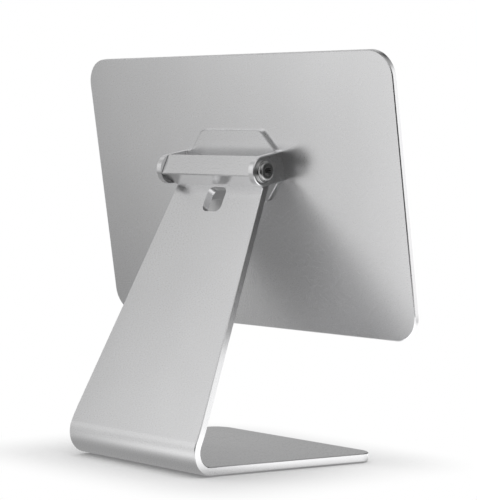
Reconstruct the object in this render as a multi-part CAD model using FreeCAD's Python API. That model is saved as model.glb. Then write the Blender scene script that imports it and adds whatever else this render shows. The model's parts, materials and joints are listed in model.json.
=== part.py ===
"""Magnetic tablet stand: a bent aluminium foot and neck, a friction hinge and a magnetic panel.

Millimetres, +Z up. X runs across the stand, the tablet faces -Y and the bend of the foot is at +Y.
The origin is the bottom centre of the whole stand, on the surface that it stands on. The panel is centred
on X, and the foot, neck and hinge stand a little towards +X of its middle. The bracket's tabs lie between.
Pieces beside the hinge are drawn upright round the hinge axis, then leaned and moved into place.
"""
import FreeCAD
import Part
import math
import os

V = FreeCAD.Vector
X_AXIS = V(1, 0, 0)
CENTRE = V(0, 0, 0)

# Foot and neck, one bent plate
plate_thick = 5.0
foot_depth = 139.0
foot_front_width = 134.8
foot_corner_radius = 11.0
bend_width = 105.2
bend_inner_radius = 8.8
neck_angle = 65.9
neck_run = 160.6
neck_width_at_hinge = 69.3
neck_top_corner = 2.0
neck_end_below_bar_top = 1.9
flare_start = 5.0
flare_blend = 4.5
plate_chamfer = 0.5

# Cable slot in the neck
slot_width = 15.0
slot_length = 15.8
slot_corner = 4.0
slot_below_bar = 1.0

# Silicone pad under the foot
foot_pad_thick = 1.5
foot_pad_proud = 0.6
foot_pad_inset = 8.0
foot_pad_corner = 4.0
foot_pad_clearance = 0.2
foot_pad_edge = 0.25

# Hinge bar on the neck
axis_behind_neck = 8.1
bar_above_axis = 6.9
bar_below_axis = 6.2
bar_behind_axis = 6.0
bar_chamfer = 0.6
bar_bore_radius = 4.2
keyway_width = 2.1
keyway_depth = 0.7
bar_screw_count = 4
bar_screw_spacing = 17.0
bar_screw_radius = 2.0
bar_screw_head_radius = 4.0
bar_screw_head_depth = 2.3
bar_screw_grip = 3.4
bar_screw_hex = 2.5
bar_screw_hex_depth = 1.3

# Friction pack inside the bar
shaft_radius = 3.2
shaft_flat_half = 2.5
shaft_end_recess = 0.3
shaft_thread_depth = 11.0
bush_length = 9.0
clip_wall = 0.88
clip_width = 4.0
clip_pitch = 4.2
clip_slit = 0.8
clip_tail_width = 1.8
clip_tail_reach = 0.6
washer_radius = 5.6
washer_thick = 0.2

# Yoke bracket between the bar and the panel
ear_radius = 8.7
ear_thick = 4.1
ear_gap = 0.3
ear_neck_clearance = 0.65
bracket_thick = 2.5
bracket_tab_reach = 21.3
bracket_shoulder = 5.6
bracket_tab_taper = 10.8
bracket_tab_off_centre = 2.4
bracket_tab_corner = 5.0
bracket_tab_fillet = 4.5
bracket_inner_fillet = 1.5
bracket_chamfer = 0.5

# Pivot screws, one at each ear
pivot_thread_radius = 1.75
pivot_grip = 9.0
pivot_flange_radius = 6.6
pivot_flange_height = 1.2
pivot_dome_radius = 5.9
pivot_dome_top_radius = 4.0
pivot_dome_height = 1.9
pivot_hex = 5.0
pivot_hex_depth = 2.4
pivot_flange_chamfer = 0.3

# Panel
panel_width = 247.6
panel_height = 163.7
panel_thick = 3.4
panel_corner = 15.5
panel_skin = 1.0
panel_rim = 1.6
panel_chamfer = 0.5
panel_front_chamfer = 0.35
panel_tilt = 12.1
axis_to_panel = 16.8
axis_above_panel_centre = 16.5
stand_off_centre = 3.6

# Pieces inside the panel
backing_width = 76.0
backing_height = 39.0
backing_corner = 4.0
backing_thick = 0.6
backing_clearance = 0.3
bracket_screw_edge = 4.5
bracket_screw_column = 20.0
bracket_screw_radius = 1.5
bracket_screw_head_radius = 2.75
bracket_screw_head_height = 0.9
bracket_screw_grip = 1.9
bracket_screw_hex = 2.0
bracket_screw_hex_depth = 0.6
bracket_hole_spare = 0.2
skin_hole_clearance = 0.1
carrier_thick = 1.6
carrier_clearance = 0.2
keeper_thick = 0.4
magnet_thick = 1.2
magnet_width = 8.0
magnet_length = 17.0
magnet_gap = 1.0
magnet_count = 6
magnet_side_clearance = 0.2
magnet_column_insets = (12.0, 26.0)
tape_thick = 0.15
face_pad_thick = 0.8
face_pad_edge = 0.3

# Fits
turning_clearance = 0.02
seat_clearance = 0.02
thread_clearance = 0.02
hex_to_circle = 2.0 / math.sqrt(3.0)

# How far a cutting shape runs past what it cuts, and how near a point is to count as on a face
overrun = 1.0
near = 0.01

# Places that follow from the sizes above
bend_radius = bend_inner_radius + plate_thick
foot_front = -foot_depth / 2.0
foot_underside = foot_pad_proud
bend_y = foot_depth / 2.0 - bend_radius
bend_z = foot_underside + bend_radius
neck_lean = 90.0 - neck_angle
neck_front_depth = axis_behind_neck + plate_thick
neck_end_reach = bar_above_axis - neck_end_below_bar_top


def neck_half_width(below_axis):
    """Half width of the neck at a distance below the hinge axis, along the neck."""
    slope = (bend_width - neck_width_at_hinge) / 2.0 / (neck_run - flare_start)
    return neck_width_at_hinge / 2.0 + slope * below_axis


ear_inner = neck_half_width(ear_radius) + ear_neck_clearance
ear_outer = ear_inner + ear_thick
bar_half = ear_inner - ear_gap
tab_root_half = ear_outer - bracket_shoulder
tab_top_half = tab_root_half - bracket_tab_taper
panel_front_of_skin = axis_to_panel + panel_skin
outer_screw_x = backing_width / 2.0 - bracket_screw_edge
tab_screw_up = backing_height / 2.0 - bracket_screw_edge
bracket_screw_places = []
for side in (-1, 1):
    bracket_screw_places += [(side * bracket_screw_column, tab_screw_up),
                             (side * bracket_screw_column, -tab_screw_up),
                             (side * outer_screw_x, 0.0)]
panel_centre = -axis_above_panel_centre

lean = math.radians(neck_lean)
neck_up = V(0, -math.sin(lean), math.cos(lean))
neck_back = V(0, math.cos(lean), math.sin(lean))
hinge = V(stand_off_centre, bend_y, bend_z) + neck_back * (bend_radius + axis_behind_neck) + neck_up * neck_run


def outline(points, radii):
    """Closed flat face in XY through the points, with a tangent arc of the given radius at each."""
    count = len(points)
    corners = [V(x, y, 0) for x, y in points]
    starts = []
    ends = []
    mids = []
    for i in range(count):
        corner = corners[i]
        before = (corners[i - 1] - corner).normalize()
        after = (corners[(i + 1) % count] - corner).normalize()
        half = before.getAngle(after) / 2.0
        if radii[i] == 0:
            starts.append(corner)
            ends.append(corner)
            mids.append(None)
            continue
        reach = radii[i] / math.tan(half)
        middle = (before + after).normalize()
        starts.append(corner + before * reach)
        ends.append(corner + after * reach)
        mids.append(corner + middle * (radii[i] / math.sin(half) - radii[i]))
    edges = []
    for i in range(count):
        if mids[i] is not None:
            edges.append(Part.Arc(starts[i], mids[i], ends[i]).toShape())
        following = starts[(i + 1) % count]
        if ends[i].distanceToPoint(following) > 1e-6:
            edges.append(Part.LineSegment(ends[i], following).toShape())
    return Part.Face(Part.Wire(edges))


def rectangle(width, height, corner, up=0.0, aside=0.0):
    """Rounded rectangle face in XY, centred on x = aside and y = up."""
    w = width / 2.0
    h = height / 2.0
    points = [(aside - w, up - h), (aside + w, up - h), (aside + w, up + h), (aside - w, up + h)]
    return outline(points, [corner] * 4)


def upright(face, depth, thick):
    """Slab from a face drawn as (x, up): its back is at depth in front of the hinge axis."""
    slab = face.extrude(V(0, 0, thick))
    slab.rotate(CENTRE, X_AXIS, 90)
    slab.translate(V(0, -depth, 0))
    return slab


def across(radius, x_from, x_to, y=0.0, z=0.0):
    """Round bar along X."""
    return Part.makeCylinder(radius, x_to - x_from, V(x_from, y, z), X_AXIS)


def forward(radius, depth_from, depth_to, x, z):
    """Round bar that runs towards the tablet, between two depths in front of the axis."""
    return Part.makeCylinder(radius, depth_to - depth_from, V(x, -depth_from, z), V(0, -1, 0))


def block(x_from, x_to, y_from, y_to, z_from, z_to):
    return Part.makeBox(x_to - x_from, y_to - y_from, z_to - z_from, V(x_from, y_from, z_from))


def hex_bar(across_flats, length, base, direction):
    """Hexagonal prism for a key socket."""
    radius = across_flats / 2.0 * hex_to_circle
    corners = [V(radius * math.cos(math.radians(60 * k)), radius * math.sin(math.radians(60 * k)), 0)
               for k in range(7)]
    prism = Part.Face(Part.makePolygon(corners)).extrude(V(0, 0, length))
    prism.Placement = FreeCAD.Placement(base, FreeCAD.Rotation(V(0, 0, 1), direction))
    return prism


def normal_beside(face, point):
    """Normal of a face at its point nearest to the given one."""
    u, v = face.Surface.parameter(point)
    return face.normalAt(u, v)


def sharp_edges(solid, wanted):
    """Edges where two faces meet at an angle, whose middle point passes the test."""
    found = []
    for edge in solid.Edges:
        point = edge.valueAt((edge.FirstParameter + edge.LastParameter) / 2.0)
        if not wanted(point):
            continue
        faces = solid.ancestorsOfType(edge, Part.Face)
        if len(faces) < 2:
            continue
        if abs(normal_beside(faces[0], point).dot(normal_beside(faces[1], point))) < 0.9:
            found.append(edge)
    return found


def on_stand(shape):
    """Lean a piece drawn upright with the neck and move it to the hinge."""
    placed = shape.copy()
    placed.rotate(CENTRE, X_AXIS, neck_lean)
    placed.translate(hinge)
    return placed


def on_panel(shape):
    """Lean a piece drawn upright with the panel and move it to the hinge."""
    placed = shape.copy()
    placed.rotate(CENTRE, X_AXIS, -panel_tilt)
    placed.translate(hinge)
    return placed


def blend_radius(side_step, run):
    """Radius of the arc that blends a straight edge into one that steps aside over a run."""
    return flare_blend / math.tan(math.atan2(abs(side_step), run) / 2.0)


def foot_outline():
    """Plan of the foot, flared from the bend to the front."""
    b = bend_width / 2.0
    f = foot_front_width / 2.0
    points = [(-b, bend_y), (-b, bend_y - flare_start), (-f, foot_front),
              (f, foot_front), (b, bend_y - flare_start), (b, bend_y)]
    blend = blend_radius(f - b, bend_y - flare_start - foot_front)
    return outline(points, [0, blend, foot_corner_radius, foot_corner_radius, blend, 0])


def neck_outline():
    """Neck drawn as (x, up) round the hinge axis, from the bend to a little below the bar's top."""
    b = bend_width / 2.0
    top = neck_half_width(-neck_end_reach)
    points = [(-b, -neck_run), (b, -neck_run), (b, flare_start - neck_run),
              (top, neck_end_reach), (-top, neck_end_reach), (-b, flare_start - neck_run)]
    blend = blend_radius(b - top, neck_run + neck_end_reach - flare_start)
    return outline(points, [0, 0, blend, neck_top_corner, neck_top_corner, blend])


def bend():
    """Quarter-and-more turn that joins the foot to the neck."""
    centre = V(stand_off_centre - bend_width / 2.0, bend_y, bend_z)

    def at(radius, angle):
        a = math.radians(angle)
        return centre + V(0, radius * math.cos(a), radius * math.sin(a))

    low = -90.0
    high = neck_lean
    middle = (low + high) / 2.0
    outer = [at(bend_radius, angle) for angle in (low, middle, high)]
    inner = [at(bend_inner_radius, angle) for angle in (high, middle, low)]
    edges = [Part.Arc(*outer).toShape(),
             Part.LineSegment(outer[2], inner[0]).toShape(),
             Part.Arc(*inner).toShape(),
             Part.LineSegment(inner[2], outer[0]).toShape()]
    return Part.Face(Part.Wire(edges)).extrude(V(bend_width, 0, 0))


def foot_pad_block(clearance):
    """The pad's pocket, drawn in from the foot's edge by the inset, or the pad itself with its clearance."""
    inset = foot_pad_inset + clearance
    flare_y = bend_y - flare_start
    slope = (foot_front_width - bend_width) / 2.0 / (flare_y - foot_front)

    def half(y):
        return bend_width / 2.0 + slope * (flare_y - y) - inset * math.hypot(1.0, slope)

    rear = bend_y - inset
    front = foot_front + inset
    points = [(-half(rear), rear), (-half(front), front), (half(front), front), (half(rear), rear)]
    pad = outline(points, [foot_pad_corner - clearance] * 4).extrude(V(0, 0, foot_pad_thick))
    pad.translate(V(stand_off_centre, 0, 0))
    return pad


def slot_face():
    top = -(bar_below_axis + slot_below_bar)
    return rectangle(slot_width, slot_length, slot_corner, top - slot_length / 2.0)


def bar_screw_xs():
    first = -(bar_screw_count - 1) / 2.0 * bar_screw_spacing
    return [first + k * bar_screw_spacing for k in range(bar_screw_count)]


def countersunk(radius, head_radius, clearance):
    """Head and shank shared by the bar screws and, with a clearance, by their holes."""
    solids = []
    for x in bar_screw_xs():
        head = Part.makeCone(radius + clearance, head_radius + clearance, bar_screw_head_depth,
                             V(x, -(neck_front_depth - bar_screw_head_depth), 0), V(0, -1, 0))
        shank = forward(radius + clearance, axis_behind_neck - bar_screw_grip - clearance,
                        neck_front_depth - bar_screw_head_depth, x, 0)
        solids.append(head.fuse(shank).removeSplitter())
    return solids


def stand_plate():
    foot = foot_outline().extrude(V(0, 0, plate_thick))
    foot.translate(V(stand_off_centre, 0, foot_underside))
    neck = on_stand(upright(neck_outline(), axis_behind_neck, plate_thick))
    plate = foot.fuse([bend(), neck]).removeSplitter()
    plate = plate.makeChamfer(plate_chamfer, sharp_edges(plate, lambda p: True))
    slot = on_stand(upright(slot_face(), axis_behind_neck - overrun, plate_thick + 2.0 * overrun))
    holes = [on_stand(s) for s in countersunk(bar_screw_radius, bar_screw_head_radius, thread_clearance)]
    return plate.cut([foot_pad_block(0.0), slot] + holes)


def foot_pad():
    pad = foot_pad_block(foot_pad_clearance)
    return pad.makeChamfer(foot_pad_edge, sharp_edges(pad, lambda p: p.z < near))


def hinge_bar():
    bar = block(-bar_half, bar_half, -axis_behind_neck, bar_behind_axis, -bar_below_axis, bar_above_axis)

    def along_bar(point):
        rear = point.y > bar_behind_axis - near
        top = point.z > bar_above_axis - near
        return abs(point.x) < near and (rear or top)

    bar = bar.makeChamfer(bar_chamfer, sharp_edges(bar, along_bar))
    end = bar_half + overrun
    bore = across(bar_bore_radius, -end, end)
    key = block(-end, end, 0.0, bar_bore_radius + keyway_depth, -keyway_width / 2.0, keyway_width / 2.0)
    holes = countersunk(bar_screw_radius, bar_screw_head_radius, thread_clearance)
    return on_stand(bar.cut([bore, key] + holes))


def bar_screws():
    screws = []
    for x, solid in zip(bar_screw_xs(), countersunk(bar_screw_radius, bar_screw_head_radius, 0.0)):
        socket = hex_bar(bar_screw_hex, bar_screw_hex_depth, V(x, -neck_front_depth, 0), V(0, 1, 0))
        screws.append(on_stand(solid.cut(socket)))
    return Part.makeCompound(screws)


def bush(side):
    outer = bar_bore_radius - seat_clearance
    inner = shaft_radius + turning_clearance
    ends = sorted((side * bar_half, side * (bar_half - bush_length)))
    return on_stand(across(outer, *ends).cut(across(inner, *ends)))


def thrust_washer(side):
    ends = sorted((side * bar_half, side * (bar_half + washer_thick)))
    ring = across(washer_radius, *ends).cut(across(shaft_radius + turning_clearance, *ends))
    return on_stand(ring)


def friction_clips():
    """Row of slit steel clips that grip the shaft, each with a tail in the bar's keyway."""
    inner = shaft_radius + turning_clearance
    outer = inner + clip_wall
    room = 2.0 * (bar_half - bush_length)
    count = int(room // clip_pitch)
    clips = []
    for k in range(count):
        x = (k - (count - 1) / 2.0) * clip_pitch - clip_width / 2.0
        ring = across(outer, x, x + clip_width).cut(across(inner, x, x + clip_width))
        slit = block(x, x + clip_width, -clip_slit / 2.0, clip_slit / 2.0, 0.0, outer + overrun)
        tail = block(x, x + clip_width, outer - clip_wall / 2.0, outer + clip_tail_reach,
                     -clip_tail_width / 2.0, clip_tail_width / 2.0)
        clips.append(on_stand(ring.cut(slit).fuse(tail).removeSplitter()))
    return Part.makeCompound(clips)


def double_d(radius, flat_half, x_from, x_to):
    """Round bar with two flats, for the shaft's ends and, with a clearance, for the ears' holes."""
    flats = block(x_from, x_to, -flat_half, flat_half, -radius, radius)
    return across(radius, x_from, x_to).common(flats)


def hinge_shaft():
    tip = ear_outer - shaft_end_recess
    shoulder = ear_inner - seat_clearance
    shaft = across(shaft_radius, -shoulder, shoulder)
    for side in (-1, 1):
        ends = sorted((side * (shoulder - overrun), side * tip))
        shaft = shaft.fuse(double_d(shaft_radius, shaft_flat_half, *ends))
    for side in (-1, 1):
        ends = sorted((side * (tip - shaft_thread_depth), side * (tip + overrun)))
        shaft = shaft.cut(across(pivot_thread_radius, *ends))
    return on_panel(shaft.removeSplitter())


def pivot_screw(side):
    """Large button head on a flange, with a hex socket, screwed into the end of the shaft."""
    direction = V(side, 0, 0)
    base = V(side * ear_outer, 0, 0)
    flange = Part.makeCylinder(pivot_flange_radius, pivot_flange_height, base, direction)
    rim = base + direction * pivot_flange_height
    flange = flange.makeChamfer(pivot_flange_chamfer,
                                sharp_edges(flange, lambda p: abs(p.x - rim.x) < near))
    rise = pivot_dome_height
    run = pivot_dome_radius - pivot_dome_top_radius
    start = V(pivot_dome_radius, 0, 0)
    end = V(pivot_dome_top_radius, 0, rise)
    middle = V(pivot_dome_top_radius + run * math.cos(math.pi / 4.0), 0, rise * math.sin(math.pi / 4.0))
    profile = Part.Wire([Part.Arc(start, middle, end).toShape(),
                         Part.LineSegment(end, V(0, 0, rise)).toShape(),
                         Part.LineSegment(V(0, 0, rise), CENTRE).toShape(),
                         Part.LineSegment(CENTRE, start).toShape()])
    dome = Part.Face(profile).revolve(CENTRE, V(0, 0, 1), 360)
    dome.Placement = FreeCAD.Placement(rim, FreeCAD.Rotation(V(0, 0, 1), direction))
    top = rim + direction * rise
    socket = hex_bar(pivot_hex, pivot_hex_depth, top, -direction)
    shank = Part.makeCylinder(pivot_thread_radius - thread_clearance, pivot_grip, base, -direction)
    screw = flange.fuse([dome, shank]).cut(socket)
    return on_panel(screw.removeSplitter())


def pivot_screws():
    return Part.makeCompound([pivot_screw(-1), pivot_screw(1)])


def ear(side):
    """Ear of the yoke: a round end on the hinge axis and straight sides down to the panel, chamfered outside."""
    ends = sorted((side * ear_inner, side * ear_outer))
    cheek = block(ends[0], ends[1], -axis_to_panel, 0.0, -ear_radius, ear_radius)
    solid = across(ear_radius, *ends).fuse(cheek).removeSplitter()

    def outer_rim(point):
        return abs(abs(point.x) - ear_outer) < near and point.y > near - axis_to_panel

    return solid.makeChamfer(bracket_chamfer, sharp_edges(solid, outer_rim))


def ear_root(side):
    """Hollow fillet where the ear's inner face meets the plate."""
    back = bracket_thick - axis_to_panel
    middle = side * (ear_inner - bracket_inner_fillet)
    ends = sorted((middle, side * ear_inner))
    corner = block(ends[0], ends[1], back, back + bracket_inner_fillet, -ear_radius, ear_radius)
    hollow = Part.makeCylinder(bracket_inner_fillet, 2.0 * (ear_radius + overrun),
                               V(middle, back + bracket_inner_fillet, -ear_radius - overrun))
    return corner.cut(hollow)


def bracket_outline():
    """Plate of the yoke: two rounded tabs above and below the ears, joined by an S at each flank."""
    bends = [0, 0, bracket_tab_fillet, bracket_tab_corner]
    points = []
    radii = []
    for side, up in ((1, 1), (-1, 1), (-1, -1), (1, -1)):
        corner = [(side * ear_outer, up * (ear_radius - bracket_chamfer)),
                  (side * (ear_outer - bracket_chamfer), up * ear_radius),
                  (side * tab_root_half - bracket_tab_off_centre, up * ear_radius),
                  (side * tab_top_half - bracket_tab_off_centre, up * bracket_tab_reach)]
        inward = side == up
        points += corner if inward else corner[::-1]
        radii += bends if inward else bends[::-1]
    return outline(points, radii)


def yoke_bracket():
    depth = axis_to_panel - bracket_thick
    plate = upright(bracket_outline(), depth, bracket_thick)

    def tab_rims(point):
        return abs(point.y + depth) < near and abs(point.z) > ear_radius + near

    plate = plate.makeChamfer(bracket_chamfer, sharp_edges(plate, tab_rims))
    yoke = plate.fuse([ear(-1), ear(1), ear_root(-1), ear_root(1)]).removeSplitter()
    end = ear_outer + overrun
    holes = [double_d(shaft_radius + seat_clearance, shaft_flat_half + seat_clearance, -end, end)]
    depth = axis_to_panel - bracket_screw_grip - bracket_hole_spare
    for x, z in bracket_screw_places:
        holes.append(forward(bracket_screw_radius + thread_clearance, depth, axis_to_panel + overrun, x, z))
    return on_panel(yoke.cut(holes))


def panel_face(inset, clearance=0.0):
    """Outline of the panel drawn in from its edge."""
    drop = 2.0 * (inset + clearance)
    return rectangle(panel_width - drop, panel_height - drop, panel_corner - inset - clearance,
                     panel_centre, -stand_off_centre)


def screw_clearance_holes(depth, thick):
    """Holes for the bracket screws through a sheet whose back is at the given depth."""
    radius = bracket_screw_radius + skin_hole_clearance
    return [forward(radius, depth - overrun, depth + thick + overrun, x, z) for x, z in bracket_screw_places]


def panel_shell():
    shell = upright(panel_face(0.0), axis_to_panel, panel_thick)
    back = -axis_to_panel
    front = back - panel_thick
    shell = shell.makeChamfer(panel_chamfer, sharp_edges(shell, lambda p: abs(p.y - back) < near))
    shell = shell.makeChamfer(panel_front_chamfer, sharp_edges(shell, lambda p: abs(p.y - front) < near))
    pocket = upright(panel_face(panel_rim), panel_front_of_skin, panel_thick)
    return on_panel(shell.cut([pocket] + screw_clearance_holes(axis_to_panel, panel_skin)))


def backing_plate():
    face = rectangle(backing_width, backing_height, backing_corner)
    plate = upright(face, panel_front_of_skin, backing_thick)
    return on_panel(plate.cut(screw_clearance_holes(panel_front_of_skin, backing_thick)))


def bracket_screws():
    seat = panel_front_of_skin + backing_thick
    screws = []
    for x, z in bracket_screw_places:
        shank = forward(bracket_screw_radius, axis_to_panel - bracket_screw_grip, seat, x, z)
        head = forward(bracket_screw_head_radius, seat, seat + bracket_screw_head_height, x, z)
        top = V(x, -(seat + bracket_screw_head_height), z)
        socket = hex_bar(bracket_screw_hex, bracket_screw_hex_depth, top, V(0, 1, 0))
        screws.append(on_panel(shank.fuse(head).cut(socket).removeSplitter()))
    return Part.makeCompound(screws)


def column_xs(side):
    return [side * (panel_width / 2.0 - panel_rim - inset) - stand_off_centre for inset in magnet_column_insets]


def column_height():
    return magnet_count * magnet_length + (magnet_count - 1) * magnet_gap


def column_block(x, width, height, depth, thick, up=panel_centre):
    """Upright rectangular slab centred on a magnet column."""
    w = width / 2.0
    h = height / 2.0
    return block(x - w, x + w, -(depth + thick), -depth, up - h, up + h)


def magnet_carrier():
    carrier = upright(panel_face(panel_rim, carrier_clearance), panel_front_of_skin, carrier_thick)
    window = rectangle(backing_width + 2.0 * backing_clearance, backing_height + 2.0 * backing_clearance,
                       backing_corner + backing_clearance)
    depth = panel_front_of_skin - overrun
    thick = carrier_thick + 2.0 * overrun
    cuts = [upright(window, depth, thick)]
    for x in column_xs(-1) + column_xs(1):
        cuts.append(column_block(x, magnet_width + 2.0 * magnet_side_clearance,
                                 column_height() + 2.0 * magnet_side_clearance, depth, thick))
    return on_panel(carrier.cut(cuts))


def keepers(side):
    """Two steel strips behind the magnets of one side."""
    strips = [column_block(x, magnet_width, column_height(), panel_front_of_skin, keeper_thick)
              for x in column_xs(side)]
    return Part.makeCompound([on_panel(strip) for strip in strips])


def magnets(side):
    pitch = magnet_length + magnet_gap
    solids = []
    for x in column_xs(side):
        for k in range(magnet_count):
            up = panel_centre + (k - (magnet_count - 1) / 2.0) * pitch
            solids.append(on_panel(column_block(x, magnet_width, magnet_length,
                                                panel_front_of_skin + keeper_thick, magnet_thick, up)))
    return Part.makeCompound(solids)


def face_tape():
    depth = panel_front_of_skin + carrier_thick
    return on_panel(upright(panel_face(panel_rim, carrier_clearance), depth, tape_thick))


def face_pad():
    depth = panel_front_of_skin + carrier_thick + tape_thick
    pad = upright(panel_face(panel_rim, carrier_clearance), depth, face_pad_thick)
    front = -(depth + face_pad_thick)
    pad = pad.makeFillet(face_pad_edge, sharp_edges(pad, lambda p: abs(p.y - front) < near))
    return on_panel(pad)


PIECES = {
    "stand_plate": stand_plate,
    "foot_pad": foot_pad,
    "hinge_bar": hinge_bar,
    "bar_screws": bar_screws,
    "bush_left": lambda: bush(1),
    "bush_right": lambda: bush(-1),
    "thrust_washer_left": lambda: thrust_washer(1),
    "thrust_washer_right": lambda: thrust_washer(-1),
    "friction_clips": friction_clips,
    "hinge_shaft": hinge_shaft,
    "pivot_screws": pivot_screws,
    "yoke_bracket": yoke_bracket,
    "panel_shell": panel_shell,
    "backing_plate": backing_plate,
    "bracket_screws": bracket_screws,
    "magnet_carrier": magnet_carrier,
    "keepers_left": lambda: keepers(1),
    "keepers_right": lambda: keepers(-1),
    "magnets_left": lambda: magnets(1),
    "magnets_right": lambda: magnets(-1),
    "face_tape": face_tape,
    "face_pad": face_pad,
}

os.makedirs("parts", exist_ok=True)
shapes = []
for name, make in PIECES.items():
    shape = make()
    shape.exportStep(f"parts/{name}.step")
    shapes.append(shape)
    print(name, "solids", len(shape.Solids), "volume", round(shape.Volume, 1), "valid", shape.isValid())
print("hinge axis x, y, z:", [round(c, 3) for c in hinge])
print(Part.makeCompound(shapes).BoundBox)
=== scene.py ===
"""Looks of the magnetic tablet stand: satin aluminium, steel hinge screws, soft pads and studio light."""
import json
import math

import bpy
from mathutils import Matrix, Vector

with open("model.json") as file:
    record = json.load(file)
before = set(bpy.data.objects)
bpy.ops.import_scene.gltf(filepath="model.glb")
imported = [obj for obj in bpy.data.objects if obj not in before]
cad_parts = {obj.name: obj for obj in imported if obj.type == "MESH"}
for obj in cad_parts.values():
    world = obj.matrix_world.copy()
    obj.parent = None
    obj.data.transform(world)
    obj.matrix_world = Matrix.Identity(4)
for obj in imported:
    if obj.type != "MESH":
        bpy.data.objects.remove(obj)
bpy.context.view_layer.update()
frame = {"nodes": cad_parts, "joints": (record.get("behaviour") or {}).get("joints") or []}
nodes = frame["nodes"]

# Camera, found by fitting the stand's edges to the photograph: metres, degrees, and millimetres for the lens
CAMERA_PLACE = Vector((-0.72458, 0.73686, 0.15857))
CAMERA_TURN = 44.156
CAMERA_RISE = 1.954
CAMERA_ROLL = 2.178
CAMERA_LENS = 126.0
CAMERA_SENSOR = 36.0
CAMERA_CLIP = 0.01

# Soft lights of the studio: azimuth from +X and height above the horizon in degrees, width, then strength
WIDE = 39.0
NARROW = 31.0
STUDIO = [
    (65.0, 4.0, WIDE, 0.85),  # behind the stand, for the panel's back
    (72.0, -14.0, NARROW, 0.45),
    (65.0, -24.0, WIDE, 0.30),
    (61.0, 28.0, NARROW, 1.08),  # higher up, for the neck and the bar
    (40.0, 45.0, NARROW, 0.25),
    (345.0, 44.0, WIDE, 0.60),  # in front, for the foot's top and the bend
    (340.0, 60.0, NARROW, 0.40),
    (315.0, 25.0, WIDE, 0.38),
    (135.0, 38.0, WIDE, 0.55),  # above the camera and beside it, for the bevels
    (180.0, 38.0, WIDE, 0.50),
    (225.0, 38.0, WIDE, 0.40),
    (212.0, 6.0, WIDE, 1.45),  # beside the stand, for the sides of the neck and the foot
    (240.0, -20.0, WIDE, 0.50),
]
WHITE = 1.0
PLAIN_LIGHT = 1.0
STUDIO_DIM = 0.03
STUDIO_LIMIT = 1.35

# Floor in metres: it fades to white away from the foot's box, which is inset because the foot tapers
FLOOR_RADIUS = 0.34
FLOOR_POINTS = 96
FLOOR_DROP = 0.0002
FLOOR_TONE = 0.9
FLOOR_FADE = 0.07
FOOT_INSET = Vector((0.006, 0.0015, 0.0))

# What metal sees of the floor, painted as the floor's own glow: a painted shadow in a strip beside the foot,
# a dim rest, and painted glows towards some sides (azimuth, cosine of edge, level)
FLOOR_SHADOW_STRIP = 0.03
FLOOR_PAINTED_SHADOW = 0.42
FLOOR_DIM = 0.34
FLOOR_GLOWS = [(122.0, -0.3, 0.78), (225.0, 0.1, 1.1), (300.0, 0.3, 0.2)]

# Noise values between these two cover the range that a material asks for
NOISE_LOW = 0.3
NOISE_HIGH = 0.7


def empty_tree(owner):
    """Node tree of a material or of the world, cleared."""
    owner.use_nodes = True
    owner.node_tree.nodes.clear()
    return owner.node_tree


def new_material(name):
    """Node material with its tree and its Principled shader, wired to the output."""
    material = bpy.data.materials.new(name)
    tree = empty_tree(material)
    output = tree.nodes.new("ShaderNodeOutputMaterial")
    shader = tree.nodes.new("ShaderNodeBsdfPrincipled")
    tree.links.new(shader.outputs["BSDF"], output.inputs["Surface"])
    return material, tree, shader


def feed(tree, socket, value):
    """Gives a socket a number or another node's output."""
    if isinstance(value, (int, float)):
        socket.default_value = value
    else:
        tree.links.new(value, socket)


def object_coords(tree):
    """Position on the piece in metres, the same at every pose of the joint."""
    return tree.nodes.new("ShaderNodeTexCoord").outputs["Object"]


def noise(tree, scale, detail):
    """Noise with so many waves to the metre."""
    node = tree.nodes.new("ShaderNodeTexNoise")
    node.inputs["Scale"].default_value = scale
    node.inputs["Detail"].default_value = detail
    node.inputs["Roughness"].default_value = 0.55
    tree.links.new(object_coords(tree), node.inputs["Vector"])
    return node.outputs["Fac"]


def map_range(tree, value, start, end, low, high, curve="LINEAR"):
    node = tree.nodes.new("ShaderNodeMapRange")
    node.interpolation_type = curve
    for name, number in (("From Min", start), ("From Max", end), ("To Min", low), ("To Max", high)):
        node.inputs[name].default_value = number
    tree.links.new(value, node.inputs["Value"])
    return node.outputs["Result"]


def spread(tree, value, low, high):
    """Noise value stretched to a range."""
    return map_range(tree, value, NOISE_LOW, NOISE_HIGH, low, high)


def eased(tree, value, start, end, strength=1.0):
    """Smooth rise from 0 to a strength between two limits of a value."""
    return map_range(tree, value, start, end, 0.0, strength, "SMOOTHSTEP")


def mix_node(tree, kind, factor):
    node = tree.nodes.new("ShaderNodeMix")
    node.data_type = kind
    feed(tree, node.inputs[0], factor)
    return node


def colour_range(tree, value, dark, light):
    """Colour that runs between two colours with a noise value."""
    node = mix_node(tree, "RGBA", spread(tree, value, 0.0, 1.0))
    node.inputs[6].default_value = (*dark, 1.0)
    node.inputs[7].default_value = (*light, 1.0)
    return node.outputs[2]


def mixed(tree, factor, first, second):
    """Value that runs from the first to the second with a factor."""
    node = mix_node(tree, "FLOAT", factor)
    feed(tree, node.inputs[2], first)
    feed(tree, node.inputs[3], second)
    return node.outputs[0]


def combined(tree, operation, first, second):
    """Sum, product or the like of two values, each an output or a number."""
    node = tree.nodes.new("ShaderNodeMath")
    node.operation = operation
    feed(tree, node.inputs[0], first)
    feed(tree, node.inputs[1], second)
    return node.outputs["Value"]


def vector_step(tree, operation, value, other=None):
    """One step of vector maths. Lengths and dot products come out as a single value."""
    node = tree.nodes.new("ShaderNodeVectorMath")
    node.operation = operation
    tree.links.new(value, node.inputs[0])
    if other is not None:
        node.inputs[1].default_value = other
    return node.outputs["Value" if operation in ("LENGTH", "DOT_PRODUCT") else "Vector"]


def bump(tree, shader, height, strength, distance):
    node = tree.nodes.new("ShaderNodeBump")
    node.inputs["Strength"].default_value = strength
    node.inputs["Distance"].default_value = distance
    tree.links.new(height, node.inputs["Height"])
    tree.links.new(node.outputs["Normal"], shader.inputs["Normal"])


def grey(tone):
    return (tone, tone, tone)


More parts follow.
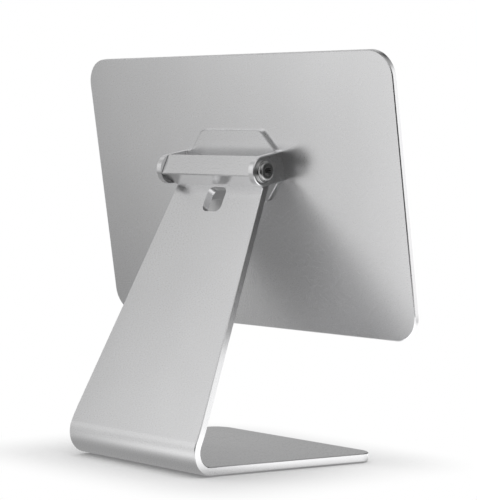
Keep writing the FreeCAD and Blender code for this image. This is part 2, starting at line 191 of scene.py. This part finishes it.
def satin_aluminium():
    """Bead-blasted and anodised aluminium: fine grains in the bump and gloss, faint clouds in tone."""
    material, tree, shader = new_material("satin_aluminium")
    shader.inputs["Metallic"].default_value = 1.0
    clouds = noise(tree, scale=14.0, detail=2.0)
    colour = colour_range(tree, clouds, dark=(0.70, 0.70, 0.705), light=(0.74, 0.74, 0.745))
    tree.links.new(colour, shader.inputs["Base Color"])
    grains = noise(tree, scale=2600.0, detail=2.0)
    tree.links.new(spread(tree, grains, 0.26, 0.31), shader.inputs["Roughness"])
    bump(tree, shader, grains, strength=0.06, distance=0.00006)
    return material


def turned_steel(name, tone, roughness):
    """Turned stainless steel: rings round the hinge axis in the bump, from the distance to the axis."""
    material, tree, shader = new_material(name)
    shader.inputs["Metallic"].default_value = 1.0
    offset = vector_step(tree, "SUBTRACT", object_coords(tree), Vector(frame["joints"][0]["pos_m"]))
    flat = vector_step(tree, "MULTIPLY", offset, (0.0, 1.0, 1.0))
    rings = tree.nodes.new("ShaderNodeTexNoise")
    rings.noise_dimensions = "1D"
    rings.inputs["Scale"].default_value = 5200.0
    tree.links.new(vector_step(tree, "LENGTH", flat), rings.inputs["W"])
    value = rings.outputs["Fac"]
    colour = colour_range(tree, value, dark=grey(tone * 0.9), light=grey(tone * 1.08))
    tree.links.new(colour, shader.inputs["Base Color"])
    tree.links.new(spread(tree, value, roughness - 0.04, roughness + 0.05), shader.inputs["Roughness"])
    bump(tree, shader, value, strength=0.25, distance=0.00003)
    return material


def soft_rubber(name, dark, light, roughness):
    """Matt silicone or polymer with a fine grain and a faint cloudiness."""
    material, tree, shader = new_material(name)
    shader.inputs["Sheen Weight"].default_value = 0.06
    clouds = noise(tree, scale=40.0, detail=4.0)
    tree.links.new(colour_range(tree, clouds, dark, light), shader.inputs["Base Color"])
    grains = noise(tree, scale=3800.0, detail=2.0)
    tree.links.new(spread(tree, grains, roughness - 0.06, roughness + 0.06), shader.inputs["Roughness"])
    bump(tree, shader, grains, strength=0.3, distance=0.00005)
    return material


def plain_metal(name, tone, roughness):
    """Rolled or plated steel that shows only when the stand is taken apart."""
    material, tree, shader = new_material(name)
    shader.inputs["Metallic"].default_value = 1.0
    clouds = noise(tree, scale=120.0, detail=4.0)
    colour = colour_range(tree, clouds, dark=grey(tone * 0.88), light=grey(tone))
    tree.links.new(colour, shader.inputs["Base Color"])
    tree.links.new(spread(tree, clouds, roughness - 0.05, roughness + 0.05), shader.inputs["Roughness"])
    return material


def paint(names, material):
    """Gives CAD nodes one material."""
    for name in names:
        mesh = nodes[name].data
        mesh.materials.clear()
        mesh.materials.append(material)


def paint_all():
    paint(["stand_plate", "hinge_bar", "yoke_bracket", "panel_shell"], satin_aluminium())
    paint(["pivot_screws"], turned_steel("pivot_steel", tone=0.38, roughness=0.24))
    paint(["bar_screws", "bracket_screws"], plain_metal("screw_steel", tone=0.5, roughness=0.3))
    paint(["hinge_shaft"], plain_metal("shaft_steel", tone=0.58, roughness=0.22))
    paint(["friction_clips"], plain_metal("spring_steel", tone=0.4, roughness=0.34))
    paint(["backing_plate", "keepers_left", "keepers_right"],
          plain_metal("plate_steel", tone=0.5, roughness=0.38))
    paint(["magnets_left", "magnets_right"], plain_metal("magnet_nickel", tone=0.66, roughness=0.24))
    paint(["foot_pad"],
          soft_rubber("foot_silicone", (0.29, 0.295, 0.30), (0.32, 0.325, 0.33), roughness=0.75))
    paint(["face_pad"],
          soft_rubber("face_silicone", (0.062, 0.062, 0.065), (0.070, 0.070, 0.073), roughness=0.7))
    paint(["bush_left", "bush_right"], soft_rubber("bush_polymer", grey(0.05), grey(0.08), roughness=0.45))
    paint(["thrust_washer_left", "thrust_washer_right"],
          soft_rubber("washer_polymer", grey(0.06), grey(0.09), roughness=0.4))
    paint(["magnet_carrier"],
          soft_rubber("carrier_plastic", (0.09, 0.09, 0.095), (0.12, 0.12, 0.125), roughness=0.5))
    paint(["face_tape"], soft_rubber("tape_film", (0.72, 0.72, 0.7), (0.8, 0.8, 0.78), roughness=0.35))


def camera_at_photo():
    """Camera behind the stand, at the photograph's angle."""
    turn, rise, roll = (math.radians(angle) for angle in (CAMERA_TURN, CAMERA_RISE, CAMERA_ROLL))
    back = Vector((-math.sin(turn) * math.cos(rise), math.cos(turn) * math.cos(rise), math.sin(rise)))
    level_right = (-back).cross(Vector((0.0, 0.0, 1.0))).normalized()
    level_up = back.cross(level_right)
    right = level_right * math.cos(roll) + level_up * math.sin(roll)
    up = level_up * math.cos(roll) - level_right * math.sin(roll)
    data = bpy.data.cameras.new("camera")
    data.lens = CAMERA_LENS
    data.sensor_width = CAMERA_SENSOR
    data.clip_start = CAMERA_CLIP
    camera = bpy.data.objects.new("camera", data)
    bpy.context.scene.collection.objects.link(camera)
    turned = Matrix((right, up, back)).transposed().to_4x4()
    camera.matrix_world = Matrix.Translation(CAMERA_PLACE) @ turned
    bpy.context.scene.camera = camera


def direction_to(azimuth, height):
    a, h = math.radians(azimuth), math.radians(height)
    return Vector((math.cos(a) * math.cos(h), math.sin(a) * math.cos(h), math.sin(h)))


def ray_kinds(tree):
    """Two values: 1 for rays from the camera, and 1 for rays by way of metal or glass."""
    path = tree.nodes.new("ShaderNodeLightPath").outputs
    mirrored = combined(tree, "MAXIMUM", path["Is Glossy Ray"], path["Is Transmission Ray"])
    return path["Is Camera Ray"], mirrored


def world_light():
    """White background, seen by metal and glass as the studio's soft lights, and plain light on the rest."""
    world = bpy.data.worlds.new("studio")
    bpy.context.scene.world = world
    tree = empty_tree(world)
    output = tree.nodes.new("ShaderNodeOutputWorld")
    shader = tree.nodes.new("ShaderNodeBackground")
    shader.inputs["Color"].default_value = (*grey(WHITE), 1.0)
    tree.links.new(shader.outputs["Background"], output.inputs["Surface"])
    direction = tree.nodes.new("ShaderNodeTexCoord").outputs["Generated"]
    studio = STUDIO_DIM
    for azimuth, height, width, strength in STUDIO:
        cosine = vector_step(tree, "DOT_PRODUCT", direction, direction_to(azimuth, height))
        edge = math.cos(math.radians(width))
        studio = combined(tree, "ADD", eased(tree, cosine, edge, 1.0, strength), studio)
    studio = combined(tree, "MINIMUM", studio, STUDIO_LIMIT)
    camera_ray, mirrored = ray_kinds(tree)
    light = mixed(tree, mirrored, PLAIN_LIGHT, studio)
    tree.links.new(mixed(tree, camera_ray, light, WHITE), shader.inputs["Strength"])


def floor_glow(tree, position, away):
    """What metal sees of the floor, painted as emission: a painted shadow beside the foot, and painted glows
    towards some sides further out.
    """
    outward = vector_step(tree, "NORMALIZE", position)
    glow = FLOOR_DIM
    for azimuth, edge, strength in FLOOR_GLOWS:
        cosine = vector_step(tree, "DOT_PRODUCT", outward, direction_to(azimuth, 0.0))
        glow = combined(tree, "ADD", eased(tree, cosine, edge, 1.0, strength), glow)
    # Painted shadow: the floor's glow is held dim in a strip beside the foot, seen only in reflections
    return mixed(tree, eased(tree, away, 0.0, FLOOR_SHADOW_STRIP), FLOOR_PAINTED_SHADOW, glow)


def beyond_foot(tree, position):
    """Distance of a place on the floor from the box round the foot, 0 inside it."""
    low, high = (Vector(nodes["stand_plate"].bound_box[corner]) for corner in (0, 6))
    offset = vector_step(tree, "SUBTRACT", position, (low + high) / 2.0)
    offset = vector_step(tree, "ABSOLUTE", offset)
    beyond = vector_step(tree, "SUBTRACT", offset, (high - low) / 2.0 - FOOT_INSET)
    beyond = vector_step(tree, "MAXIMUM", beyond, (0.0, 0.0, 0.0))
    return vector_step(tree, "LENGTH", vector_step(tree, "MULTIPLY", beyond, (1.0, 1.0, 0.0)))


def floor_material():
    material = bpy.data.materials.new("floor")
    tree = empty_tree(material)
    position = tree.nodes.new("ShaderNodeNewGeometry").outputs["Position"]
    away = beyond_foot(tree, position)
    camera_ray, mirrored = ray_kinds(tree)
    table = tree.nodes.new("ShaderNodeBsdfDiffuse")
    table.inputs["Color"].default_value = (*grey(FLOOR_TONE), 1.0)
    light = tree.nodes.new("ShaderNodeEmission")
    # Metal and glass see only this emission: the painted shadow beside the foot and the painted glows further
    # out
    tree.links.new(mixed(tree, camera_ray, floor_glow(tree, position, away), WHITE), light.inputs["Strength"])
    faded = combined(tree, "MULTIPLY", eased(tree, away, 0.0, FLOOR_FADE), camera_ray)
    mix = tree.nodes.new("ShaderNodeMixShader")
    tree.links.new(combined(tree, "MAXIMUM", faded, mirrored), mix.inputs["Fac"])
    tree.links.new(table.outputs["BSDF"], mix.inputs[1])
    tree.links.new(light.outputs["Emission"], mix.inputs[2])
    output = tree.nodes.new("ShaderNodeOutputMaterial")
    tree.links.new(mix.outputs["Shader"], output.inputs["Surface"])
    return material


def pale_floor():
    """White table with the stand's soft shadow, which turns into the white background further out."""
    angles = [2.0 * math.pi * k / FLOOR_POINTS for k in range(FLOOR_POINTS)]
    ring = [(FLOOR_RADIUS * math.cos(a), FLOOR_RADIUS * math.sin(a), 0.0) for a in angles]
    mesh = bpy.data.meshes.new("floor")
    mesh.from_pydata(ring, [], [tuple(range(FLOOR_POINTS))])
    mesh.materials.append(floor_material())
    floor = bpy.data.objects.new("floor", mesh)
    floor.location.z = -FLOOR_DROP
    bpy.context.scene.collection.objects.link(floor)


paint_all()
camera_at_photo()
world_light()
pale_floor()
bpy.context.scene.view_settings.view_transform = "Standard"
